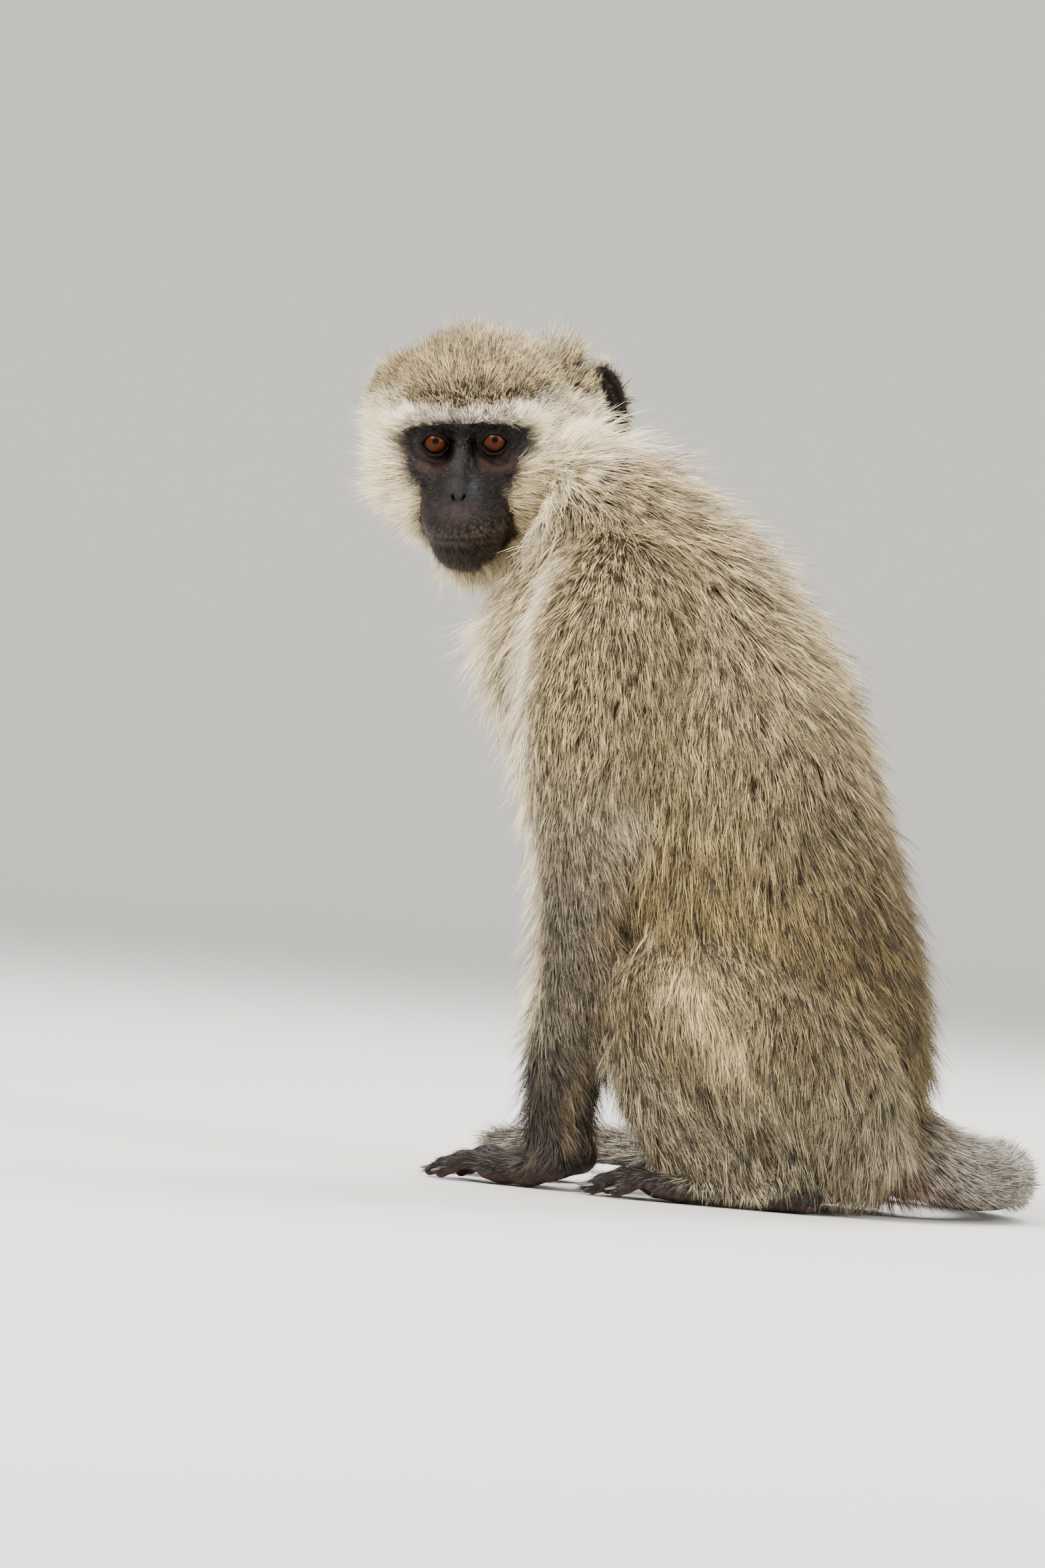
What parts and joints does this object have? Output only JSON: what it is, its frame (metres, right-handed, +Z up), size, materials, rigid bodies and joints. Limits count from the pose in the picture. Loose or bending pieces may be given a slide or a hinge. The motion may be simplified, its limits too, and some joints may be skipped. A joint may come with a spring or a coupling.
{
  "type": "vervet monkey, life-size still model",
  "caption": "Life-size still model of a vervet monkey sitting upright with its hands on the floor, its head turned to its left and its tail laid behind it.",
  "frame": {"origin": "on the floor, under the middle of the seat", "axes": "+Z up; the trunk faces -Y; +X is the animal's left, the side its head is turned to"},
  "size_m": [0.3239, 0.3592, 0.4154],
  "materials": {
    "coat": "grizzled grey-olive fur, white below, black hands and feet",
    "skin": "bare black skin of the face and ears",
    "eye": "wet, brown iris with a small dark pupil"
  },
  "bodies": {
    "root": {"head": "coat", "neck": "coat", "trunk": "coat", "ear_left": "skin", "ear_right": "skin", "eye_left": "eye", "eye_right": "eye", "upper_arm_left": "coat", "upper_arm_right": "coat", "forearm_left": "coat", "forearm_right": "coat", "hand_left": "coat", "hand_right": "coat", "thigh_left": "coat", "thigh_right": "coat", "shank_left": "coat", "shank_right": "coat", "foot_left": "coat", "foot_right": "coat", "tail_base": "coat", "tail_upper": "coat", "tail_lower": "coat", "tail_tip": "coat"}
  },
  "joints": []
}
